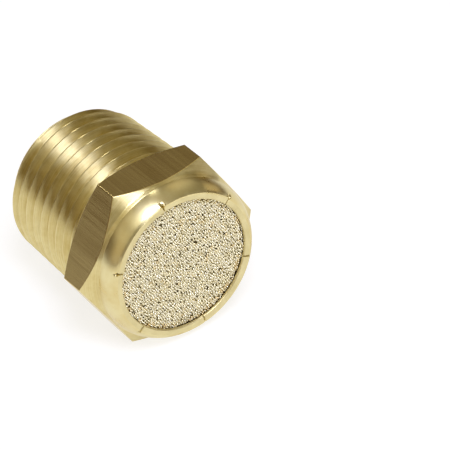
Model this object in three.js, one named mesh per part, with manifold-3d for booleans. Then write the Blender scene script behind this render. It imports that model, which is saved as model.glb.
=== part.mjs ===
// A flat pneumatic muffler (breather) for a 1/2-14 taper pipe port.
//
// It has two pieces. The threaded body is turned from hexagon bar: a male taper pipe thread, a
// spanner hexagon and a thin lip. The sintered disc is a plate of fused bronze beads in a counterbore
// behind the hexagon, and the lip is rolled over its edge and staked at six places.
//
// Millimetres, +Z up. The axis lies along Y, with the open thread end at +Y and the disc facing -Y.
// The origin is on the axis at half the length. Two of the hexagon's flats face +Z and -Z.

import * as THREE from "three";
import { mergeVertices } from "three/addons/utils/BufferGeometryUtils.js";
import Module from "manifold-3d";

const wasm = await Module();
wasm.setup();

// Lengths along the axis, which add up to the overall length
const threadLength = 16.8;
const hexagonLength = 6.35;
const lipLength = 2.45;

// Taper pipe thread: 14 threads an inch, 60 degree form, 1 in 16 on the diameter
const threadPitch = 25.4 / 14;
const threadLargeDiameter = 21.34;
const threadTaper = 1 / 16;
const threadFlankAngle = 30;
const threadCrestFlat = 0.12;
const threadRootFlat = 0.14;
const vanishLength = 2.2;
const leadFaceWidth = 1.4;
const leadChamferLength = 2;

// Hexagon, chamfered towards the thread and towards the disc
const hexagonAcrossFlats = 22;
const rearChamferAngle = 30;
const frontChamferAngle = 45;

// Lip, as thick as its wall at the root, rolled inwards at the rim
const lipStep = 0.05;
const lipWall = 1.4;
const lipRollIn = 1.1;
const lipRollAngle = 52;
const lipOverlap = 0.35;
const lipEdgeThickness = 0.35;
const stakeCount = 6;
const stakeFirstAngle = 41.6;
const stakeWidth = 0.5;
const stakeDepth = 0.24;

// Air way: an inlet with a drill point, then a smaller passage to the back of the disc
const inletWall = 1.5;
const inletDepth = 8.6;
const inletEdgeChamfer = 0.3;
const drillPointAngle = 118;
const passageDiameter = 10;

// Sintered disc, held with this clearance all round so that the solids stay apart
const discThickness = 3;
const discEdgeChamfer = 0.25;
const discClearance = 0.3;

// Facets round a full turn
const turnedSegments = 72;
const threadSegments = 48;

const degrees = Math.PI / 180;

// Worked-out sizes
const overallLength = threadLength + hexagonLength + lipLength;
const threadDepth =
  (threadPitch - threadCrestFlat - threadRootFlat) / 2 / Math.tan(threadFlankAngle * degrees);
const inletRadius = crestRadius(0) - threadDepth - inletWall;
const passageRadius = passageDiameter / 2;
const leadFaceRadius = inletRadius + leadFaceWidth;
const hexagonCornerRadius = hexagonAcrossFlats / Math.sqrt(3);
const lipRootRadius = hexagonAcrossFlats / 2 - lipStep;
const rimOuterRadius = lipRootRadius - lipRollIn;
const seatRadius = lipRootRadius - lipWall;
const discRadius = seatRadius - discClearance;
const lipOpeningRadius = discRadius - lipOverlap;

// Stations are counted along the axis from the thread's end face towards the disc.
const lipStation = threadLength + hexagonLength;
const lipUnderside = overallLength - lipEdgeThickness;
const discFront = lipUnderside - discClearance;
const discBack = discFront - discThickness;
const seatStation = discBack - discClearance;
// Cutting solids run this far past what they cut.
const overrun = 2;

function stationY(station) {
  return overallLength / 2 - station;
}

// Radius over the thread's crests at a station
function crestRadius(station) {
  return threadLargeDiameter / 2 - ((threadLength - station) * threadTaper) / 2;
}

function solidOf(geometry) {
  const bare = geometry.clone();
  bare.deleteAttribute("normal");
  bare.deleteAttribute("uv");
  const merged = mergeVertices(bare, 1e-4);
  return new wasm.Manifold(
    new wasm.Mesh({
      numProp: 3,
      vertProperties: merged.attributes.position.array,
      triVerts: new Uint32Array(merged.index.array),
    }),
  );
}

function geometryOf(solid) {
  const mesh = solid.getMesh();
  const geometry = new THREE.BufferGeometry();
  geometry.setAttribute("position", new THREE.BufferAttribute(mesh.vertProperties, 3));
  geometry.setIndex(new THREE.BufferAttribute(mesh.triVerts, 1));
  geometry.computeVertexNormals();
  return geometry;
}

// A turned solid from [radius, station] points that start and end on the axis, stations rising
function turned(points) {
  const profile = points.map(([radius, station]) => new THREE.Vector2(radius, stationY(station)));
  return solidOf(new THREE.LatheGeometry(profile.reverse(), turnedSegments));
}

// A rod with the full thread, longer than the threaded length at both ends. Each turn has four
// helical lines: the two edges of the root flat and the two edges of the crest flat.
function threadedRod() {
  const flankLength = (threadPitch - threadCrestFlat - threadRootFlat) / 2;
  const lines = [
    { offset: 0, depth: threadDepth },
    { offset: threadRootFlat, depth: threadDepth },
    { offset: threadRootFlat + flankLength, depth: 0 },
    { offset: threadRootFlat + flankLength + threadCrestFlat, depth: 0 },
  ];
  const firstStation = -2 * threadPitch;
  const turns = Math.ceil(threadLength / threadPitch) + 4;
  const lastRow = turns * lines.length;

  const positions = [];
  const addPoint = (row, step) => {
    const line = lines[row % lines.length];
    const turn = Math.floor(row / lines.length) + step / threadSegments;
    const station = firstStation + turn * threadPitch + line.offset;
    const radius = crestRadius(station) - line.depth;
    const angle = (2 * Math.PI * step) / threadSegments;
    positions.push(radius * Math.cos(angle), stationY(station), radius * Math.sin(angle));
  };
  for (let row = 0; row <= lastRow; row++) {
    for (let step = 0; step < threadSegments; step++) addPoint(row, step);
  }
  for (let row = lastRow + 1; row <= lastRow + lines.length; row++) addPoint(row, 0);
  positions.push(0, stationY(firstStation), 0);
  positions.push(0, stationY(firstStation + (turns + 1) * threadPitch), 0);

  // A full turn along a line leads to the same line of the next turn. Rows past the last full one
  // hold only their first point.
  const point = (row, step) => {
    if (step === threadSegments) return point(row + lines.length, 0);
    if (row <= lastRow) return row * threadSegments + step;
    return (lastRow + 1) * threadSegments + row - lastRow - 1;
  };
  const startCentre = positions.length / 3 - 2;
  const endCentre = startCentre + 1;
  const faces = [];
  for (let step = 0; step < threadSegments; step++) {
    for (let row = 0; row < lastRow; row++) {
      faces.push(point(row, step), point(row, step + 1), point(row + 1, step + 1));
      faces.push(point(row, step), point(row + 1, step + 1), point(row + 1, step));
    }
    faces.push(startCentre, point(0, step + 1), point(0, step));
    faces.push(endCentre, point(lastRow, step), point(lastRow, step + 1));
  }
  for (let row = 0; row < lines.length; row++) {
    faces.push(startCentre, point(row, 0), point(row + 1, 0));
    faces.push(endCentre, point(lastRow + row + 1, 0), point(lastRow + row, 0));
  }
  const geometry = new THREE.BufferGeometry();
  geometry.setAttribute("position", new THREE.Float32BufferAttribute(positions, 3));
  geometry.setIndex(faces);
  return solidOf(geometry);
}

// The thread between its end face and the inside of the hexagon: chamfered at the lead, and with
// its grooves running out against the hexagon
function thread() {
  const end = threadLength + overrun;
  const chamferSlope = (crestRadius(leadChamferLength) - leadFaceRadius) / leadChamferLength;
  const envelope = turned([
    [0, 0],
    [leadFaceRadius, 0],
    [leadFaceRadius + chamferSlope * end, end],
    [0, end],
  ]);
  const vanish = turned([
    [0, threadLength - vanishLength],
    [crestRadius(threadLength - vanishLength) - threadDepth, threadLength - vanishLength],
    [crestRadius(threadLength), threadLength],
    [crestRadius(threadLength), end],
    [0, end],
  ]);
  return threadedRod().intersect(envelope).add(vanish);
}

function hexagon() {
  const outline = new THREE.Shape(
    Array.from({ length: 6 }, (_, i) => {
      const angle = i * 60 * degrees;
      return new THREE.Vector2(hexagonCornerRadius * Math.cos(angle), hexagonCornerRadius * Math.sin(angle));
    }),
  );
  const bar = new THREE.ExtrudeGeometry(outline, { depth: hexagonLength, bevelEnabled: false });
  bar.rotateX(90 * degrees).translate(0, stationY(threadLength), 0);

  // Two cones chamfer the bar. They meet outside it, where they cut nothing.
  const rearSlope = 1 / Math.tan(rearChamferAngle * degrees);
  const frontSlope = Math.tan(frontChamferAngle * degrees);
  const rearRadius = crestRadius(threadLength);
  const meeting = (lipRootRadius - rearRadius + hexagonLength * frontSlope) / (rearSlope + frontSlope);
  const chamfers = turned([
    [0, threadLength],
    [rearRadius, threadLength],
    [rearRadius + meeting * rearSlope, threadLength + meeting],
    [lipRootRadius, lipStation],
    [0, lipStation],
  ]);
  return solidOf(bar).intersect(chamfers);
}

// The lip's outside is an arc that leaves the root along the axis and rolls inwards to the rim.
function lip() {
  const steps = 6;
  const outside = Array.from({ length: steps + 1 }, (_, i) => {
    const angle = (lipRollAngle * degrees * i) / steps;
    const inward = (1 - Math.cos(angle)) / (1 - Math.cos(lipRollAngle * degrees));
    const forward = Math.sin(angle) / Math.sin(lipRollAngle * degrees);
    return [lipRootRadius - lipRollIn * inward, lipStation + lipLength * forward];
  });
  return turned([
    [0, lipStation - overrun],
    [lipRootRadius - lipWall, lipStation - overrun],
    [lipRootRadius, lipStation],
    ...outside.slice(1),
    [0, overallLength],
  ]);
}

// One cutter for the whole air way, from the inlet to the opening in the lip
function airWay() {
  const drillPoint = (inletRadius - passageRadius) / Math.tan((drillPointAngle / 2) * degrees);
  return turned([
    [0, -overrun],
    [inletRadius + inletEdgeChamfer + overrun, -overrun],
    [inletRadius, inletEdgeChamfer],
    [inletRadius, inletDepth],
    [passageRadius, inletDepth + drillPoint],
    [passageRadius, seatStation],
    [seatRadius, seatStation],
    [seatRadius, lipUnderside],
    [lipOpeningRadius, lipUnderside],
    [lipOpeningRadius, overallLength + overrun],
    [0, overallLength + overrun],
  ]);
}

// A V-shaped stake mark across the rim, at an angle counted from +X towards +Z
function stakeMark(angle) {
  const section = new THREE.Shape([
    new THREE.Vector2(-stakeWidth, -stakeDepth),
    new THREE.Vector2(0, stakeDepth),
    new THREE.Vector2(stakeWidth, -stakeDepth),
  ]);
  const length = rimOuterRadius - lipOpeningRadius + 2 * overrun;
  const mark = new THREE.ExtrudeGeometry(section, { depth: length, bevelEnabled: false });
  mark.rotateY(90 * degrees).translate(lipOpeningRadius - overrun, stationY(overallLength), 0);
  mark.rotateY(-angle * degrees);
  return solidOf(mark);
}

function threadedBody() {
  let body = thread().add(hexagon()).add(lip()).subtract(airWay());
  for (let i = 0; i < stakeCount; i++) {
    body = body.subtract(stakeMark(stakeFirstAngle + (360 / stakeCount) * i));
  }
  return body;
}

function sinteredDisc() {
  return turned([
    [0, discBack],
    [discRadius - discEdgeChamfer, discBack],
    [discRadius, discBack + discEdgeChamfer],
    [discRadius, discFront - discEdgeChamfer],
    [discRadius - discEdgeChamfer, discFront],
    [0, discFront],
  ]);
}

const brass = new THREE.MeshStandardMaterial({ color: 0xc8a64b, roughness: 0.3, metalness: 1 });
const sinteredBronze = new THREE.MeshStandardMaterial({
  color: 0xcbbd93,
  roughness: 0.65,
  metalness: 0.9,
});

function piece(name, solid, material) {
  const mesh = new THREE.Mesh(geometryOf(solid), material);
  mesh.name = name;
  return mesh;
}

const muffler = new THREE.Group();
muffler.add(piece("threaded_body", threadedBody(), brass));
muffler.add(piece("sintered_disc", sinteredDisc(), sinteredBronze));

export default muffler;
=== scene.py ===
"""A flat pneumatic muffler: a turned brass body and a sintered bronze disc under its rolled lip.

The axis lies along Y, with the thread's open end at +Y and the disc facing -Y. Shapes are worked out
in millimetres, as radius and station round the axis, and put into the meshes in metres. A station is
a length along the axis from the thread's end face towards the disc.
"""
import math
import bpy
import numpy as np
from mathutils import Matrix, Vector


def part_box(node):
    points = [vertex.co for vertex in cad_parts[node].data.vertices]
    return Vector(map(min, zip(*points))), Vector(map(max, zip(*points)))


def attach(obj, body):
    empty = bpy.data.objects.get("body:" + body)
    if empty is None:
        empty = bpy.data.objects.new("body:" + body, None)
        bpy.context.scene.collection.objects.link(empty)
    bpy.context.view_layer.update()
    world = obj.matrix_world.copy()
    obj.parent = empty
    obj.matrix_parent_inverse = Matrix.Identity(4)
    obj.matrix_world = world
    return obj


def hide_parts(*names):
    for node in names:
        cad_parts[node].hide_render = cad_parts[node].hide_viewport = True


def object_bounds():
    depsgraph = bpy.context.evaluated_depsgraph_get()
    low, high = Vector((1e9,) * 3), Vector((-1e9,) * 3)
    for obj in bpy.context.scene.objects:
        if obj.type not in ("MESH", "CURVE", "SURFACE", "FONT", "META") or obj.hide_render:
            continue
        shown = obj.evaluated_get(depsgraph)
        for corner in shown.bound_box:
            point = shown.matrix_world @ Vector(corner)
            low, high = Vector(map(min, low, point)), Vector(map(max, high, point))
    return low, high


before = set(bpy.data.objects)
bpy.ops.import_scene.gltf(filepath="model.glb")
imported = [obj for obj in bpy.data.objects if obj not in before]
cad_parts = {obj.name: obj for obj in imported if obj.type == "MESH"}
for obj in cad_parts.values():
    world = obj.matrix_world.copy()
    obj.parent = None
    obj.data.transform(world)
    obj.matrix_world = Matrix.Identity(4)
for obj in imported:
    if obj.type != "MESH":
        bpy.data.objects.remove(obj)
cad_low, cad_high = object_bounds()

MM = 0.001
BODY = "root"
FULL_TURN = 2 * math.pi

# The body's materials, in their order on the mesh
TURNED, DRAWN, ROLLED, RIM, BORED = range(5)

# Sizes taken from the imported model
body_low, body_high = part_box("threaded_body")
disc_low, disc_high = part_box("sintered_disc")
OVERALL_LENGTH = (body_high.y - body_low.y) / MM
ACROSS_FLATS = (body_high.z - body_low.z) / MM
DISC_RADIUS = (disc_high.x - disc_low.x) / 2 / MM
DISC_FRONT = (body_high.y - disc_low.y) / MM
DISC_BACK = (body_high.y - disc_high.y) / MM
THREAD_END_Y = body_high.y / MM

# Thread
PITCH = 25.4 / 14
THREAD_LENGTH = 16.8
THREAD_RADIUS = 10.67
TAPER = 1 / 32
CREST_FLAT = 0.16
ROOT_FLAT = 0.14
FLANK = (PITCH - CREST_FLAT - ROOT_FLAT) / 2
THREAD_DEPTH = FLANK * math.tan(math.radians(60))
VANISH_LENGTH = 2.2
LEAD_CHAMFER = 2.0
LEAD_ROUND = 0.03
VANISH_ROUND = 0.05
DENTS = 60
DENT_WIDTH = 0.3
DENT_DEPTHS = (0.015, 0.05)
DENTED_DEPTH = 0.3

# Hexagon: its slopes are length along the axis over radius, but the collar's is the other way round
CORNER_ROUND = 0.08
REAR_SLOPE = math.tan(math.radians(30))
CHAMFER_LENGTH = 1.71
CHAMFER_SLOPE = 0.73
COLLAR_SLOPE = 0.3
COLLAR_FILLET = 0.12
REAR_EDGE_BAND = 0.12
FRONT_EDGE_BAND = 0.2
REAR_EDGE_ROUND = 0.045
FRONT_EDGE_ROUND = 0.07

# Lip
LIP_LENGTH = 2.45
LIP_ROOT = ACROSS_FLATS / 2 - 0.15
LIP_ROLL_IN = 1.0
LIP_ROLL_ANGLE = math.radians(52)
LIP_EDGE = 0.35
LIP_STEP = 0.035
LIP_STATION = OVERALL_LENGTH - LIP_LENGTH
LIP_OPENING = DISC_RADIUS - 0.35
OPENING_WOBBLE = 0.035
RIM_OUTER = LIP_ROOT - LIP_ROLL_IN
RIM_CORNER = 0.07

# Stake marks, from the upper right round to the right: their cuts and burrs differ in size
STAKE_ANGLES = math.radians(41.6) + np.arange(6) * math.radians(60)
CUT_SIZES = np.array([1.3, 1.1, 1.4, 1.7, 0.9, 1.7])
BURR_SIZES = np.array([1.2, 1.2, 0.35, 0.7, 0.2, 0.35])
HIGH_BURR_OUT = 0.05
HIGH_BURR_WIDTH = 0.15
LOW_BURR_OUT = 0.03
LOW_BURR_WIDTH = 0.1
LOW_BURR_SHARE = 0.6

# Air way
CLEARANCE = 0.3
INLET_WALL = 1.5
INLET_RADIUS = THREAD_RADIUS - THREAD_LENGTH * TAPER - THREAD_DEPTH - INLET_WALL
INLET_DEPTH = 8.6
INLET_CHAMFER = 0.3
PASSAGE_RADIUS = 5.0
DRILL_HALF_ANGLE = math.radians(59)
AIR_WAY_ROUND = 0.05
LEAD_FACE = INLET_RADIUS + 1.4

# Sintered disc
BEAD = 0.37
BEAD_SPACING = 0.35
BEAD_SCATTER = 0.24
BEAD_GAP = 0.92
PUSH_SHARE = 0.35
PUSH_ROUNDS = 6
SIZE_SPREAD = 0.09
SIZE_LIMITS = (0.75, 1.15)
# Width of the band inside the lip's opening where beads are painted darker and warmer, as painted shade
# from the lip
LIP_SHADE_BAND = 0.7
DISC_FACE = DISC_FRONT + 0.25
SECOND_LAYER = BEAD * 0.56


# --- Meshes ---------------------------------------------------------------------------------------

def new_piece(name, vertices_mm, faces, materials, zones=None, smooth=True):
    """A piece from vertices in millimetres, faces and materials; zones gives each face its material."""
    mesh = bpy.data.meshes.new(name)
    mesh.from_pydata((vertices_mm * MM).tolist(), [], faces)
    for material in materials:
        mesh.materials.append(material)
    if zones is not None:
        mesh.polygons.foreach_set("material_index", np.asarray(zones, np.int32))
    mesh.polygons.foreach_set("use_smooth", np.full(len(mesh.polygons), smooth))
    mesh.update()
    piece = bpy.data.objects.new(name, mesh)
    bpy.context.scene.collection.objects.link(piece)
    return piece


def stands_for(piece, node):
    """The piece takes a design node's place and rides on the body."""
    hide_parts(node)
    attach(piece, BODY)


def round_the_axis(angle, radius, station):
    """Points (radius cos angle, along, radius sin angle), with the angle from +X towards +Z."""
    return np.stack([radius * np.cos(angle), THREAD_END_Y - station, radius * np.sin(angle)], -1)


def weld_grid(points, zones):
    """Joins grid points that coincide and drops the faces that vanish.

    points is rows x columns x 3, and zones gives a material number to each band between two rows.
    """
    rows, columns = points.shape[:2]
    keys = np.round(points.reshape(-1, 3) * 1e5).astype(np.int64)
    _, first, same = np.unique(keys, axis=0, return_index=True, return_inverse=True)
    index = same.reshape(rows, columns)
    quads = np.stack(
        [index[:-1, :-1], index[:-1, 1:], index[1:, 1:], index[1:, :-1]], -1
    ).reshape(-1, 4)
    zone = np.repeat(zones, columns - 1)
    repeated = quads == np.roll(quads, -1, axis=1)
    count = repeated.sum(1)
    whole = quads[count == 0]
    pinched = quads[count == 1]
    keep = ~repeated[count == 1]
    triangles = pinched[keep].reshape(-1, 3)
    faces = whole.tolist() + triangles.tolist()
    return points.reshape(-1, 3)[first], faces, np.r_[zone[count == 0], zone[count == 1]]


# --- Body -----------------------------------------------------------------------------------------

def column_angles():
    """Angles round the axis: every 1.25 degrees, and closer at the hexagon's corners and the stake
    marks. The first angle comes again after a full turn, and welding closes the seam."""
    even = np.arange(0, 360, 1.25)
    near_corner = np.array([0.09, 0.18, 0.5])
    corners = np.arange(6)[:, None] * 60 + np.r_[-near_corner[::-1], near_corner]
    near_stake = np.array([0, 0.2, 0.4, 0.6, 0.85, 1.2, 1.7, 2.3, 3.0])
    stakes = np.degrees(STAKE_ANGLES)[:, None] + np.r_[-near_stake[:0:-1], near_stake]
    special = np.sort(np.r_[corners.ravel(), stakes.ravel()] % 360)
    gap = np.abs(even[:, None] - special[None]).min(1)
    inner = np.sort(np.r_[even[(gap > 0.35) | (even % 60 == 0)], special])
    return np.radians(np.r_[inner, 360.0])


def soft_minimum(a, b, size):
    """The lower of two radii, with the edge between them rounded over about the given size.

    With h = 0.5 + (b - a) / (2 size), kept within 0 and 1: b + (a - b) h - size h (1 - h).
    """
    h = np.clip(0.5 + 0.5 * (b - a) / size, 0, 1)
    return b + (a - b) * h - size * h * (1 - h)


def soft_maximum(a, b, size):
    """The higher of two radii, with the corner between them filled over about the given size."""
    return -soft_minimum(-a, -b, size)


def crest_radius(station):
    """The taper thread's radius over its crests: THREAD_RADIUS at the hexagon, and TAPER less for each
    millimetre away from it."""
    return THREAD_RADIUS - (THREAD_LENGTH - station) * TAPER


def thread_depth(phase):
    """How far the thread form lies under its crests at a length along one pitch.

    A trapezoid: root flat, rising flank, crest flat, falling flank.
    """
    corners = [0, ROOT_FLAT, ROOT_FLAT + FLANK, ROOT_FLAT + FLANK + CREST_FLAT, PITCH]
    depths = [THREAD_DEPTH, THREAD_DEPTH, 0, 0, THREAD_DEPTH]
    return np.interp(phase % PITCH, corners, depths)


def crest_dents(angle, station, rng):
    """Depth of the small dents from handling at every point of the thread.

    Each dent is depth * exp(-(distance over the surface / DENT_WIDTH) squared).
    """
    dent_angle = rng.uniform(0, FULL_TURN, DENTS)
    dent_station = rng.uniform(1, THREAD_LENGTH, DENTS)
    depth = rng.uniform(*DENT_DEPTHS, DENTS)
    around = (angle[None, :, None] - dent_angle + math.pi) % FULL_TURN - math.pi
    along = station[..., None] - dent_station
    far = (around * THREAD_RADIUS / DENT_WIDTH) ** 2 + (along / DENT_WIDTH) ** 2
    return (depth * np.exp(-far)).sum(-1)


def thread_rows(angle, rng):
    """Rows along the helix, clipped to the threaded length, as radius and station.

    radius = least of (crests - form - dents) and the lead chamfer's cone, and at least the cone on
    which the thread runs out before the hexagon.
    """
    crest = ROOT_FLAT + FLANK
    phases = np.r_[
        0, ROOT_FLAT, ROOT_FLAT + FLANK * np.array([0.2, 0.5, 0.8, 0.95]), crest, crest + CREST_FLAT / 2,
        crest + CREST_FLAT, crest + CREST_FLAT + FLANK * np.array([0.05, 0.2, 0.5, 0.8]),
    ]
    turns = np.arange(-1, math.ceil(THREAD_LENGTH / PITCH))
    offset = (turns[:, None] * PITCH + phases[None]).ravel()
    station = offset[:, None] + PITCH * angle[None] / FULL_TURN
    phase = np.broadcast_to(np.tile(phases, len(turns))[:, None], station.shape)
    clipped = np.clip(station, 0, THREAD_LENGTH)
    phase = phase + (clipped - station)
    form = thread_depth(phase)
    near_crest = form < DENTED_DEPTH
    radius = crest_radius(clipped) - form - crest_dents(angle, clipped, rng) * near_crest
    chamfer = LEAD_FACE + (crest_radius(LEAD_CHAMFER) - LEAD_FACE) * clipped / LEAD_CHAMFER
    radius = soft_minimum(radius, chamfer, LEAD_ROUND)
    start = THREAD_LENGTH - VANISH_LENGTH
    vanish = crest_radius(start) - THREAD_DEPTH + (clipped - start) * (
        (crest_radius(THREAD_LENGTH) - crest_radius(start) + THREAD_DEPTH) / VANISH_LENGTH
    )
    radius = soft_maximum(radius, vanish, VANISH_ROUND)
    radius = np.where(clipped <= 0, LEAD_FACE, radius)
    radius = np.where(clipped >= THREAD_LENGTH, crest_radius(THREAD_LENGTH), radius)
    return radius, clipped


def hexagon_radius(angle):
    """The bar's outline: flats at half the width over cos(angle from the flat's middle), and corners
    rounded by an arc that meets both flats."""
    half = ACROSS_FLATS / 2
    turn = np.abs((angle + math.pi / 6) % (math.pi / 3) - math.pi / 6)
    flat = half / np.cos(math.pi / 6 - turn)
    centre = (half - CORNER_ROUND) / math.cos(math.pi / 6)
    reach = CORNER_ROUND ** 2 - (centre * np.sin(turn)) ** 2
    corner = centre * np.cos(turn) + np.sqrt(np.maximum(reach, 0))
    meets = math.atan2(CORNER_ROUND / 2, centre + CORNER_ROUND * math.cos(math.pi / 6))
    return np.where(turn < meets, corner, flat)


def hexagon_rows(angle):
    """Rows over the rear cone, the flats, the front cone and the low collar between it and the lip.

    Each column's edges lie where its cones meet the bar, and are rounded a little. With s the length
    behind the lip, cone = corner - (CHAMFER_LENGTH - s) / CHAMFER_SLOPE, and
    front = higher of the cone and LIP_ROOT + COLLAR_SLOPE * s.
    """
    bar = hexagon_radius(angle)
    corner = bar.max()
    rear_radius = crest_radius(THREAD_LENGTH)
    rear_edge = THREAD_LENGTH + (bar - rear_radius) * REAR_SLOPE
    front_edge = LIP_STATION - CHAMFER_LENGTH + CHAMFER_SLOPE * (corner - bar)
    rear_band = np.minimum(REAR_EDGE_BAND, 0.45 * (rear_edge - THREAD_LENGTH))
    front_band = np.minimum(FRONT_EDGE_BAND, 0.4 * (LIP_STATION - front_edge))
    rear_start, rear_end = rear_edge - rear_band, rear_edge + rear_band
    front_start, front_end = front_edge - front_band, front_edge + front_band
    across_edge = (-1, -0.6, -0.25, 0, 0.25, 0.6, 1)
    station = np.stack(
        [THREAD_LENGTH + (rear_start - THREAD_LENGTH) * t for t in (0, 0.25, 0.5, 0.75)]
        + [rear_edge + rear_band * t for t in across_edge]
        + [rear_end + (front_start - rear_end) * t for t in (0.2, 0.4, 0.6, 0.8)]
        + [front_edge + front_band * t for t in across_edge]
        + [front_end + (LIP_STATION - front_end) * t for t in (0.2, 0.4, 0.55, 0.65, 0.75, 0.87, 1)]
    )
    rear = rear_radius + (station - THREAD_LENGTH) / REAR_SLOPE
    behind = LIP_STATION - station
    cone = corner - (CHAMFER_LENGTH - behind) / CHAMFER_SLOPE
    front = soft_maximum(cone, LIP_ROOT + COLLAR_SLOPE * behind, COLLAR_FILLET)
    radius = soft_minimum(soft_minimum(rear, bar[None], REAR_EDGE_ROUND), front, FRONT_EDGE_ROUND)
    radius[0] = rear_radius
    radius[-1] = LIP_ROOT
    return radius, station


def lip_rows(angle, rng):
    """Rows over the rolled lip: its outside arc, the rim and the edge over the disc.

    The arc leaves the root along the axis and turns inward. At a turn of t,
    inward = LIP_ROLL_IN * (1 - cos t) / (1 - cos LIP_ROLL_ANGLE), and
    forward = LIP_LENGTH * sin t / sin LIP_ROLL_ANGLE. Each stake mark is a V cut across the rim, widest
    at the outer edge, with a high burr on one side of it and a low one on the other. The opening strays
    from a circle by a few waves.
    """
    ones = np.ones_like(angle)
    from_stake = (angle[:, None] - STAKE_ANGLES + math.pi) % FULL_TURN - math.pi
    along = from_stake * RIM_OUTER
    waves = np.arange(2, 9)
    sway = rng.normal(0, 1, (2, len(waves))) / waves
    turns = angle[:, None] * waves
    wobble = (sway[0] * np.cos(turns) + sway[1] * np.sin(turns)).sum(1)
    rows = []

    def add(radius, station, cut=0.0, wide=0.1, burr=0.0, push_out=0.0):
        """One row: the V's depth and half width there, and how far the burr rises and leans out."""
        slit = (np.maximum(0, 1 - np.abs(along) / wide) * CUT_SIZES).max(1)
        high_side = np.maximum(0, 1 - np.abs(along - wide - HIGH_BURR_OUT) / HIGH_BURR_WIDTH)
        low_side = np.maximum(0, 1 - np.abs(along + wide + LOW_BURR_OUT) / LOW_BURR_WIDTH)
        ridge = ((high_side + LOW_BURR_SHARE * low_side) * BURR_SIZES).max(1)
        inward = 0.5 * cut * slit * (push_out > 0)
        rows.append((radius * ones - inward + push_out * ridge, station * ones - cut * slit + burr * ridge))

    root = LIP_ROOT - LIP_STEP
    add(root, LIP_STATION + 0.03)
    for turn in np.linspace(0, LIP_ROLL_ANGLE, 15)[1:-1]:
        inward = (1 - math.cos(turn)) / (1 - math.cos(LIP_ROLL_ANGLE))
        forward = math.sin(turn) / math.sin(LIP_ROLL_ANGLE)
        near_rim = max(0.0, (forward - 0.84) / 0.16)
        add(root - (LIP_ROLL_IN - LIP_STEP) * inward, LIP_STATION + LIP_LENGTH * forward,
            cut=0.22 * near_rim, wide=0.24, push_out=0.05 * near_rim)
    add(RIM_OUTER + 0.02, OVERALL_LENGTH - RIM_CORNER,
        cut=0.34, wide=0.22, burr=0.05, push_out=0.12)
    add(RIM_OUTER - 0.02, OVERALL_LENGTH - RIM_CORNER * 0.35,
        cut=0.36, wide=0.2, burr=0.02, push_out=0.1)
    rim_start = RIM_OUTER - RIM_CORNER
    add(rim_start, OVERALL_LENGTH, cut=0.34, wide=0.16)
    inner = LIP_OPENING + OPENING_WOBBLE * wobble
    rim_end = inner + 0.2
    for t, wide in ((0.2, 0.13), (0.4, 0.12), (0.6, 0.11), (0.8, 0.11)):
        add(rim_start + (rim_end - rim_start) * t, OVERALL_LENGTH, cut=0.3, wide=wide)
    add(rim_end, OVERALL_LENGTH, cut=0.28)
    add(inner + 0.11, OVERALL_LENGTH - 0.03, cut=0.26)
    add(inner + 0.04, OVERALL_LENGTH - 0.1, cut=0.2)
    add(inner + 0.01, OVERALL_LENGTH - 0.19, cut=0.1)
    add(inner, OVERALL_LENGTH - LIP_EDGE)
    return np.stack([r for r, _ in rows]), np.stack([s for _, s in rows])


def air_way_rows(angle):
    """Rows from under the lip back to the inlet: counterbore, passage, drill point and inlet."""
    seat_radius = DISC_RADIUS + CLEARANCE
    seat = DISC_BACK - CLEARANCE
    drill_end = INLET_DEPTH + (INLET_RADIUS - PASSAGE_RADIUS) / math.tan(DRILL_HALF_ANGLE)
    edge = AIR_WAY_ROUND
    profile = [
        (seat_radius, OVERALL_LENGTH - LIP_EDGE), (seat_radius, DISC_FRONT - 1), (seat_radius, seat),
        (PASSAGE_RADIUS + 1.5, seat), (PASSAGE_RADIUS + edge, seat), (PASSAGE_RADIUS, seat - edge),
        (PASSAGE_RADIUS, (seat + drill_end) / 2), (PASSAGE_RADIUS, drill_end + edge),
        (PASSAGE_RADIUS + edge, drill_end - edge / 2),
        ((PASSAGE_RADIUS + INLET_RADIUS) / 2, (drill_end + INLET_DEPTH) / 2),
        (INLET_RADIUS - edge, INLET_DEPTH + edge / 2), (INLET_RADIUS, INLET_DEPTH - edge),
        (INLET_RADIUS, INLET_DEPTH * 0.75), (INLET_RADIUS, INLET_DEPTH / 2),
        (INLET_RADIUS, INLET_DEPTH / 4), (INLET_RADIUS, INLET_CHAMFER + edge),
        (INLET_RADIUS + edge * 0.6, INLET_CHAMFER - edge * 0.6),
        (INLET_RADIUS + INLET_CHAMFER - edge * 0.6, edge * 0.6),
        (INLET_RADIUS + INLET_CHAMFER + edge, 0),
        ((INLET_RADIUS + INLET_CHAMFER + LEAD_FACE) / 2, 0),
        (LEAD_FACE, 0),
    ]
    radius, station = np.array(profile).T
    return radius[:, None] * np.ones_like(angle), station[:, None] * np.ones_like(angle)


def threaded_body(materials):
    """The whole body as one closed skin round the axis, from the lead face out over the thread, the
    hexagon and the lip, and back through the air way."""
    rng = np.random.default_rng(7)
    angle = column_angles()
    lead_rows = 6
    groups = [
        (thread_rows(angle, rng), "thread"),
        (hexagon_rows(angle), "hexagon"),
        (lip_rows(angle, rng), "lip"),
        (air_way_rows(angle), "air_way"),
    ]
    points = np.concatenate([round_the_axis(angle, r, s) for (r, s), _ in groups])
    # Each group's materials in order, and how many rows each takes: None takes the rest
    materials_along = {
        "thread": ((TURNED, None),),
        "hexagon": ((TURNED, 7), (DRAWN, 11), (TURNED, None)),
        "lip": ((ROLLED, 17), (RIM, None)),
        "air_way": ((BORED, len(groups[-1][0][0]) - lead_rows), (TURNED, None)),
    }
    zones = []
    for (radius, _), name in groups:
        left = len(radius)
        for zone, count in materials_along[name]:
            count = left if count is None else count
            zones += [zone] * count
            left -= count
    vertices, faces, zone = weld_grid(points, zones[:-1])
    body = new_piece("threaded_body_turned", vertices, faces, materials, zone)
    body.data.set_sharp_from_angle(angle=math.radians(38))
    return body


# --- Sintered disc --------------------------------------------------------------------------------

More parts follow.
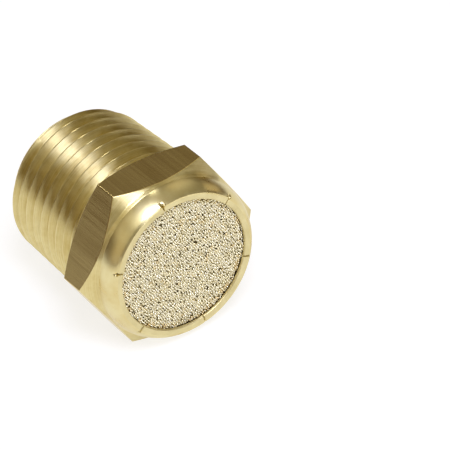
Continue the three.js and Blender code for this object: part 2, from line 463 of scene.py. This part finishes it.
def bead_ball():
    """A unit ball of 80 triangles: an icosahedron with each edge halved and pushed out to the ball."""
    g = (1 + math.sqrt(5)) / 2
    base = np.array([
        (-1, g, 0), (1, g, 0), (-1, -g, 0), (1, -g, 0), (0, -1, g), (0, 1, g),
        (0, -1, -g), (0, 1, -g), (g, 0, -1), (g, 0, 1), (-g, 0, -1), (-g, 0, 1),
    ], float)
    base /= np.linalg.norm(base[0])
    span = np.linalg.norm(base[:, None] - base[None], axis=-1)
    near = (span > 0.1) & (span < 1.1)
    i, j, k = np.meshgrid(range(12), range(12), range(12), indexing="ij")
    faces = np.argwhere(near[i, j] & near[j, k] & near[i, k] & (i < j) & (j < k))
    a, b, c = (base[faces[:, n]] for n in range(3))
    inward = np.einsum("ij,ij->i", np.cross(b - a, c - a), a) < 0
    faces[inward] = faces[inward][:, ::-1]
    edges = np.sort(np.concatenate([faces[:, [0, 1]], faces[:, [1, 2]], faces[:, [2, 0]]]), 1)
    edges, which = np.unique(edges, axis=0, return_inverse=True)
    middle = base[edges].mean(1)
    middle /= np.linalg.norm(middle, axis=1)[:, None]
    ab, bc, ca = (which.reshape(3, -1) + 12)
    a, b, c = faces.T
    split = [np.stack(t, 1) for t in ((a, ab, ca), (b, bc, ab), (c, ca, bc), (ab, bc, ca))]
    return np.concatenate([base, middle]), np.concatenate(split)


def bead_places(radius, spacing, rng):
    """Centres of closely but unevenly packed beads inside a circle.

    A triangular lattice, each point moved at random by about BEAD_SCATTER of the spacing. Then, in
    PUSH_ROUNDS rounds, it is pushed away from each of the eight grid points round it that is closer
    than BEAD_GAP of the spacing, by PUSH_SHARE of what is missing.
    """
    count = int(radius / spacing) + 3
    rows = int(radius / (spacing * math.sqrt(0.75))) + 3
    i, j = np.meshgrid(np.arange(-count, count + 1), np.arange(-rows, rows + 1), indexing="ij")
    place = np.stack([(i + 0.5 * (j % 2)) * spacing, j * spacing * math.sqrt(0.75)], -1)
    place = place + rng.normal(0, BEAD_SCATTER * spacing, place.shape)
    around = [(1, 0), (-1, 0), (0, 1), (0, -1), (1, 1), (1, -1), (-1, 1), (-1, -1)]
    for _ in range(PUSH_ROUNDS):
        push = np.zeros_like(place)
        for di, dj in around:
            apart = place - np.roll(place, (di, dj), (0, 1))
            gap = np.linalg.norm(apart, axis=-1, keepdims=True) + 1e-9
            push += apart / gap * np.clip(BEAD_GAP * spacing - gap, 0, None) * PUSH_SHARE
        place = place + push
    flat = place.reshape(-1, 2)
    return flat[np.hypot(*flat.T) < radius]


def bead_layer(name, radius, face, inward, seed, ball, material, sunk=0.05):
    """A layer of beads whose crowns lie about on a plane, given by its station and the direction into
    the disc along the stations. Each bead gets a tone of its own, and beads near the lip's edge are
    painted warmer and darker as painted shade from the lip."""
    unit, faces = ball
    rng = np.random.default_rng(seed)
    places = bead_places(radius - BEAD / 2, BEAD_SPACING, rng)
    count = len(places)
    size = BEAD * np.clip(rng.normal(1, SIZE_SPREAD, count), *SIZE_LIMITS)
    station = face + inward * (size / 2 + np.abs(rng.normal(0, sunk, count)))
    centres = np.stack([places[:, 0], THREAD_END_Y - station, places[:, 1]], 1)
    vertices = centres[:, None] + size[:, None, None] / 2 * unit[None]
    index = (faces[None] + len(unit) * np.arange(count)[:, None, None]).reshape(-1, 3)
    piece = new_piece(name, vertices.reshape(-1, 3), index.tolist(), [material])
    # Painted shade: beads near the lip's edge get the warmer, darker tones, standing in for the shade under
    # the lip.
    lip_shade = np.clip((np.hypot(*places.T) - LIP_OPENING + LIP_SHADE_BAND) / LIP_SHADE_BAND, 0, 1)
    tone_and_lip_shade = np.clip(rng.uniform(0, 1, count) * (1 + 0.5 * lip_shade), 0, 1)
    attribute = piece.data.attributes.new("tone_and_lip_shade", "FLOAT", "POINT")
    attribute.data.foreach_set("value", np.repeat(tone_and_lip_shade, len(unit)).astype(np.float32))
    return piece


def disc_core(material):
    """The plate between the bead layers: a closed turned solid, sunk so that beads stand proud of it.
    Its nearly black material is painted shade in the gaps between the beads.
    """
    sink = BEAD * 0.8
    front, back = DISC_FACE - sink, DISC_BACK + sink
    edge = 0.3
    outer = DISC_RADIUS - 0.02
    profile = np.array([
        (0, back), (outer - edge, back), (outer, back + edge), (outer, front - edge),
        (outer - edge, front), (0, front),
    ])
    angle = np.linspace(0, FULL_TURN, 145)
    radius, station = profile.T[:, :, None] * np.ones_like(angle)
    vertices, faces, _ = weld_grid(round_the_axis(angle, radius, station), np.zeros(len(profile) - 1, int))
    return new_piece("sintered_disc_core", vertices, faces, [material], smooth=False)


# --- Materials ------------------------------------------------------------------------------------

class Finish:
    """A metal's node tree, with short calls for the nodes that it is made of."""

    def __init__(self, name, roughness):
        self.material = bpy.data.materials.new(name)
        self.material.use_nodes = True
        self.tree = self.material.node_tree
        self.shader = self.tree.nodes["Principled BSDF"]
        self.shader.inputs["Metallic"].default_value = 1.0
        self.shader.inputs["Roughness"].default_value = roughness
        self.place = self.node("ShaderNodeTexCoord").outputs["Object"]

    def node(self, kind, inputs=(), **settings):
        made = self.tree.nodes.new(kind)
        for key, value in settings.items():
            setattr(made, key, value)
        for key, value in dict(inputs).items():
            self.put(made.inputs[key], value)
        return made

    def put(self, socket, value):
        if isinstance(value, bpy.types.NodeSocket):
            self.tree.links.new(value, socket)
        else:
            socket.default_value = value

    def maths(self, operation, a, b=0.0):
        return self.node("ShaderNodeMath", {0: a, 1: b}, operation=operation).outputs[0]

    def blend(self, a, share, b):
        """Two values mixed: share * a + (1 - share) * b."""
        return self.maths("ADD", self.maths("MULTIPLY", a, share), self.maths("MULTIPLY", b, 1 - share))

    def noise(self, vector, scale, detail=2.0, rough=0.5):
        made = self.node("ShaderNodeTexNoise", {
            "Vector": vector, "Scale": scale, "Detail": detail, "Roughness": rough})
        return made.outputs["Fac"]

    def stretched(self, x, y, z):
        """Object coordinates scaled along each axis."""
        return self.node("ShaderNodeMapping", {"Vector": self.place, "Scale": (x, y, z)}).outputs[0]

    def turning(self, spread=0.95):
        """(distance from the axis, place along it): the same all round, as a lathe cuts. The
        gloss spreads across the turning lines, so a lamp's reflection has sharp sides round the axis."""
        parts = self.node("ShaderNodeSeparateXYZ", {0: self.place}).outputs
        squares = [self.maths("MULTIPLY", parts[n], parts[n]) for n in (0, 2)]
        radius = self.maths("SQRT", self.maths("ADD", *squares))
        backward = self.maths("MULTIPLY", parts[2], -1.0)
        round_axis = self.node("ShaderNodeCombineXYZ", {0: backward, 2: parts[0]})
        self.put(self.shader.inputs["Tangent"], round_axis.outputs[0])
        self.shader.inputs["Anisotropic"].default_value = spread
        self.shader.inputs["Anisotropic Rotation"].default_value = 0.25
        return self.node("ShaderNodeCombineXYZ", {0: radius, 1: parts[1]}).outputs[0]

    def ramp(self, value, *stops):
        """Colours or greys along a value, as (place, colour) stops."""
        made = self.node("ShaderNodeValToRGB", {0: value})
        elements = made.color_ramp.elements
        while len(elements) < len(stops):
            elements.new(0.5)
        for element, (where, colour) in zip(elements, stops):
            element.position = where
            element.color = (*colour, 1) if isinstance(colour, tuple) else (colour, colour, colour, 1)
        return made.outputs[0]

    def bump(self, *layers):
        """Bump from (height, distance in millimetres) layers, one after the other."""
        normal = None
        for height, distance in layers:
            inputs = {"Height": height, "Distance": distance * MM, "Strength": 1.0}
            if normal is not None:
                inputs["Normal"] = normal
            normal = self.node("ShaderNodeBump", inputs).outputs[0]
        self.put(self.shader.inputs["Normal"], normal)

    def colour(self, value):
        self.put(self.shader.inputs["Base Color"], value)

    def roughness(self, value):
        self.put(self.shader.inputs["Roughness"], value)


def turned_brass():
    """Bright turned brass: rings round the axis that differ in tone, and an unevenness from handling."""
    finish = Finish("turned_brass", 0.34)
    rings = finish.turning()
    fine = finish.noise(rings, 8000, 2, 0.6)
    coarse = finish.noise(rings, 4200, 2, 0.5)
    handling = finish.noise(finish.place, 300, 4, 0.65)
    tone = finish.blend(fine, 0.4, handling)
    finish.colour(finish.ramp(
        tone, (0.34, (0.58, 0.46, 0.18)), (0.5, (0.72, 0.61, 0.29)), (0.66, (0.83, 0.74, 0.41))))
    finish.roughness(finish.ramp(tone, (0.35, 0.28), (0.65, 0.4)))
    finish.bump((coarse, 0.008), (fine, 0.005), (handling, 0.016))
    return finish.material


def rolled_brass():
    """The lip's outside, burnished as it is rolled: glossier, so that lamps show as shapes in it."""
    finish = Finish("rolled_lip_brass", 0.3)
    rings = finish.turning(0.85)
    fine = finish.noise(rings, 8000, 2, 0.6)
    handling = finish.noise(finish.place, 320, 4, 0.6)
    finish.colour(finish.ramp(handling, (0.34, (0.67, 0.55, 0.25)), (0.66, (0.76, 0.67, 0.36))))
    finish.roughness(finish.ramp(handling, (0.35, 0.27), (0.65, 0.33)))
    finish.bump((fine, 0.002), (handling, 0.007))
    return finish.material


def drawn_brass():
    """The bar's own flats: satin and darker, with faint fine lines along the bar."""
    finish = Finish("drawn_brass_flats", 0.22)
    lines = finish.noise(finish.stretched(5200, 50, 5200), 1.0, 3, 0.6)
    broad = finish.noise(finish.stretched(1200, 60, 1200), 1.0, 2, 0.5)
    tone = finish.blend(lines, 0.5, broad)
    finish.colour(finish.ramp(tone, (0.35, (0.62, 0.48, 0.20)), (0.65, (0.78, 0.64, 0.29))))
    finish.roughness(finish.ramp(lines, (0.3, 0.2), (0.7, 0.24)))
    finish.bump((lines, 0.0014))
    return finish.material


def rim_brass():
    """The rim as rolling leaves it: matt, paler, with a fine grain."""
    finish = Finish("rolled_rim_brass", 0.45)
    grain = finish.noise(finish.place, 5200, 3, 0.6)
    patches = finish.noise(finish.place, 520, 3, 0.5)
    finish.colour(finish.ramp(patches, (0.3, (0.64, 0.55, 0.28)), (0.7, (0.73, 0.64, 0.35))))
    finish.roughness(finish.ramp(grain, (0.3, 0.36), (0.7, 0.55)))
    finish.bump((patches, 0.02), (grain, 0.006))
    return finish.material


def bored_brass_painted_shade():
    """The air way's wall: bored smooth, and painted darker and redder than the outside as painted shade
    inside the bore, in blotches.
    """
    finish = Finish("bored_brass_painted_shade", 0.3)
    rings = finish.turning()
    fine = finish.noise(rings, 9000, 2, 0.6)
    shade_blotches = finish.noise(finish.place, 330, 4, 0.6)
    # Painted shade: the bore's colours are darker and redder than the turned outside.
    finish.colour(finish.ramp(shade_blotches, (0.3, (0.62, 0.38, 0.14)), (0.7, (0.72, 0.48, 0.19))))
    finish.roughness(finish.ramp(fine, (0.35, 0.25), (0.65, 0.36)))
    finish.bump((fine, 0.003))
    return finish.material


def bead_bronze():
    """Sintered beads: pale champagne, a few warmer at random, those near the lip's edge painted warmer and
    darker as painted shade, with a faintly rough skin.
    """
    finish = Finish("sintered_bronze_beads", 0.2)
    tone_and_lip_shade = finish.node("ShaderNodeAttribute", attribute_name="tone_and_lip_shade").outputs["Fac"]
    # The ramp's top is a warm, darker tone: a few beads take it at random, and near the lip it is painted
    # shade.
    finish.colour(finish.ramp(
        tone_and_lip_shade, (0.0, (0.82, 0.77, 0.59)), (0.6, (0.81, 0.75, 0.53)), (0.95, (0.78, 0.70, 0.46)),
        (1.0, (0.74, 0.61, 0.35))))
    skin = finish.noise(finish.place, 12000, 2, 0.5)
    finish.roughness(finish.ramp(skin, (0.3, 0.14), (0.7, 0.26)))
    finish.bump((skin, 0.006))
    return finish.material


def pit_shade_bronze():
    """What shows deep between the beads: the same bronze, duller, and painted nearly black as painted shade
    in the pits.
    """
    finish = Finish("sintered_bronze_core_painted_shade", 0.6)
    pit_shade_mottle = finish.noise(finish.place, 7000, 3, 0.6)
    # Painted shade: the core's colour is kept nearly black so that the gaps between the beads look shaded.
    finish.colour(finish.ramp(pit_shade_mottle, (0.35, (0.06, 0.045, 0.02)), (0.65, (0.18, 0.14, 0.06))))
    finish.bump((pit_shade_mottle, 0.08))
    return finish.material


# --- Stage ----------------------------------------------------------------------------------------

def plain_floor():
    """A pale matt floor at the object's lowest point, lit a little from within like a light table."""
    size = 1.5
    z = cad_low.z
    corners = np.array([(-size, -size, z), (size, -size, z), (size, size, z), (-size, size, z)])
    mesh = bpy.data.meshes.new("floor")
    mesh.from_pydata(corners.tolist(), [], [(0, 1, 2, 3)])
    floor = bpy.data.objects.new("floor", mesh)
    bpy.context.scene.collection.objects.link(floor)
    paint = bpy.data.materials.new("floor_paint")
    paint.use_nodes = True
    shader = paint.node_tree.nodes["Principled BSDF"]
    shader.inputs["Base Color"].default_value = (0.35, 0.35, 0.35, 1)
    shader.inputs["Roughness"].default_value = 0.9
    shader.inputs["Specular IOR Level"].default_value = 0.1
    shader.inputs["Emission Color"].default_value = (1, 1, 1, 1)
    shader.inputs["Emission Strength"].default_value = 0.75
    mesh.materials.append(paint)


def towards(azimuth, elevation):
    """Unit vector from the object: azimuth 0 is in front of the disc, 90 at its right."""
    a, e = math.radians(azimuth), math.radians(elevation)
    return Vector((math.sin(a) * math.cos(e), -math.cos(a) * math.cos(e), math.sin(e)))


def softbox(name, azimuth, elevation, wide, high, glow, colour=(1, 1, 1), distance=0.6):
    """An area lamp that faces the object: where it stands, the angles it fills, and its brightness."""
    lamp = bpy.data.lights.new(name, "AREA")
    lamp.shape = "RECTANGLE"
    lamp.size = 2 * distance * math.tan(math.radians(wide / 2))
    lamp.size_y = 2 * distance * math.tan(math.radians(high / 2))
    lamp.energy = glow * math.pi * lamp.size * lamp.size_y
    lamp.color = colour
    holder = bpy.data.objects.new(name, lamp)
    out = towards(azimuth, elevation)
    holder.location = out * distance
    holder.rotation_euler = out.to_track_quat("Z", "Y").to_euler()
    holder.visible_camera = False
    bpy.context.scene.collection.objects.link(holder)


def studio():
    """A key lamp over the front, weaker lamps round it, and a dim warm room, lighter above and
    darker behind."""
    cool = (0.95, 1.0, 1.35)
    warm = (1.0, 0.88, 0.66)
    softbox("key", -16, 58, 18, 23, 11.0, cool)
    softbox("under_key", 2, 36, 26, 16, 1.1, cool)
    softbox("left_overhead", -50, 58, 28, 24, 1.3)
    softbox("low_front", 18, 3, 46, 17, 1.5, distance=0.13)
    softbox("left_fill", -76, 24, 44, 40, 0.55, warm)
    softbox("right_fill", 90, 18, 30, 18, 0.6, warm)
    softbox("back_left", -122, 44, 26, 34, 0.5, warm)
    softbox("back_right", 123, 45, 26, 32, 0.6, warm)
    softbox("back_spark", 166, 44, 6, 6, 17.0)
    world = bpy.data.worlds.new("studio")
    bpy.context.scene.world = world
    world.use_nodes = True
    tree = world.node_tree
    room = tree.nodes["Background"]
    direction = tree.nodes.new("ShaderNodeTexCoord")
    parts = tree.nodes.new("ShaderNodeSeparateXYZ")
    tree.links.new(direction.outputs["Generated"], parts.inputs[0])
    behind = tree.nodes.new("ShaderNodeMath")
    behind.operation = "MAXIMUM"
    behind.inputs[1].default_value = 0.0
    tree.links.new(parts.outputs["Y"], behind.inputs[0])
    height = tree.nodes.new("ShaderNodeMath")
    height.operation = "MULTIPLY_ADD"
    height.inputs[1].default_value = -0.45
    tree.links.new(behind.outputs[0], height.inputs[0])
    tree.links.new(parts.outputs["Z"], height.inputs[2])
    shade = tree.nodes.new("ShaderNodeValToRGB")
    stops = shade.color_ramp.elements
    stops.new(0.55)
    room_light = ((0.12, (0.10, 0.06, 0.02)), (0.55, (0.27, 0.24, 0.16)), (0.9, (0.45, 0.40, 0.28)))
    for stop, (place, light) in zip(stops, room_light):
        stop.position = place
        stop.color = (*light, 1)
    tree.links.new(height.outputs[0], shade.inputs[0])
    tree.links.new(shade.outputs[0], room.inputs[0])
    backdrop = tree.nodes.new("ShaderNodeBackground")
    backdrop.inputs[0].default_value = (1, 1, 1, 1)
    seen = tree.nodes.new("ShaderNodeLightPath")
    mix = tree.nodes.new("ShaderNodeMixShader")
    tree.links.new(seen.outputs["Is Camera Ray"], mix.inputs[0])
    tree.links.new(room.outputs[0], mix.inputs[1])
    tree.links.new(backdrop.outputs[0], mix.inputs[2])
    tree.links.new(mix.outputs[0], tree.nodes["World Output"].inputs[0])


def camera():
    """Looks down on the disc from the left, a little tilted, with the object left of the middle."""
    azimuth, elevation, tilt = -30.4, 35.5, math.radians(-6.5)
    distance, left_of_middle, above_middle = 0.4505, 0.01206, 0.00074
    forward = -towards(azimuth, elevation)
    level = forward.cross(Vector((0, 0, 1))).normalized()
    upright = level.cross(forward)
    right = level * math.cos(tilt) + upright * math.sin(tilt)
    up = upright * math.cos(tilt) - level * math.sin(tilt)
    data = bpy.data.cameras.new("camera")
    data.lens = 290
    data.sensor_width = 36
    data.clip_start, data.clip_end = 0.01, 10
    holder = bpy.data.objects.new("camera", data)
    place = (cad_low + cad_high) / 2 - forward * distance + right * left_of_middle - up * above_middle
    holder.matrix_world = Matrix.Translation(place) @ Matrix((right, up, -forward)).transposed().to_4x4()
    bpy.context.scene.collection.objects.link(holder)
    bpy.context.scene.camera = holder


# --- The whole ------------------------------------------------------------------------------------

def muffler():
    """The body's one skin and the disc's four pieces, each in place of its part's design node."""
    body = threaded_body([turned_brass(), drawn_brass(), rolled_brass(), rim_brass(), bored_brass_painted_shade()])
    stands_for(body, "threaded_body")

    ball = bead_ball()
    beads = bead_bronze()
    disc = [
        bead_layer("disc_beads_front", DISC_RADIUS, DISC_FACE, -1, 11, ball, beads),
        bead_layer("disc_beads_second", DISC_RADIUS, DISC_FACE - SECOND_LAYER, -1, 12, ball, beads),
        bead_layer("disc_beads_back", PASSAGE_RADIUS + 0.4, DISC_BACK, 1, 13, ball, beads),
        disc_core(pit_shade_bronze()),
    ]
    for piece in disc:
        stands_for(piece, "sintered_disc")


muffler()
plain_floor()
studio()
camera()
bpy.context.scene.view_settings.view_transform = "Standard"

bpy.context.view_layer.update()
